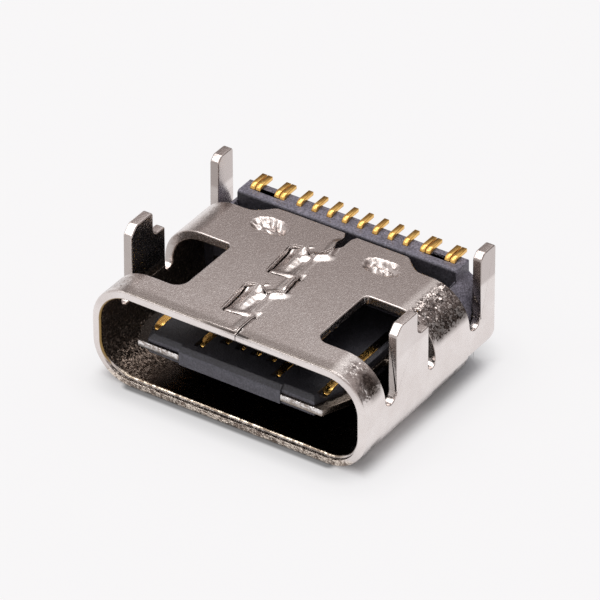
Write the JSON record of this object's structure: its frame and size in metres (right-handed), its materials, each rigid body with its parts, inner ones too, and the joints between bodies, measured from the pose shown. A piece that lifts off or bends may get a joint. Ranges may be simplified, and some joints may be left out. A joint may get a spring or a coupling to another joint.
{
  "type": "usb-c socket",
  "caption": "Board-mount socket for a small reversible plug: folded metal shell with four solder legs, contact tongue inside and a row of solder tails behind.",
  "frame": {"origin": "middle of the footprint, on the flat lid face of the shell, which is the face it rests on", "axes": "+X along the width of the mouth, +Y from the mouth to the solder tails, +Z from the lid face to the solder side and the legs"},
  "size_m": [0.009, 0.0068, 0.004],
  "materials": {
    "shell_metal": "satin nickel plate, fine rolling grain, bright pressed bends",
    "housing_plastic": "matt moulded, finely speckled",
    "tongue_plastic": "matt moulded",
    "plate_metal": "bright nickel, rough where the carrier strip was broken off",
    "contact_gold": "gold flash, bright on the bends"
  },
  "bodies": {
    "root": {"shell": "shell_metal", "housing": "housing_plastic", "upper_insert": "tongue_plastic", "lower_insert": "tongue_plastic", "mid_plate": "plate_metal", "contact_a1": "contact_gold", "contact_a4": "contact_gold", "contact_a5": "contact_gold", "contact_a6": "contact_gold", "contact_a7": "contact_gold", "contact_a8": "contact_gold", "contact_a9": "contact_gold", "contact_a12": "contact_gold", "contact_b1": "contact_gold", "contact_b4": "contact_gold", "contact_b5": "contact_gold", "contact_b6": "contact_gold", "contact_b7": "contact_gold", "contact_b8": "contact_gold", "contact_b9": "contact_gold", "contact_b12": "contact_gold"}
  },
  "joints": []
}
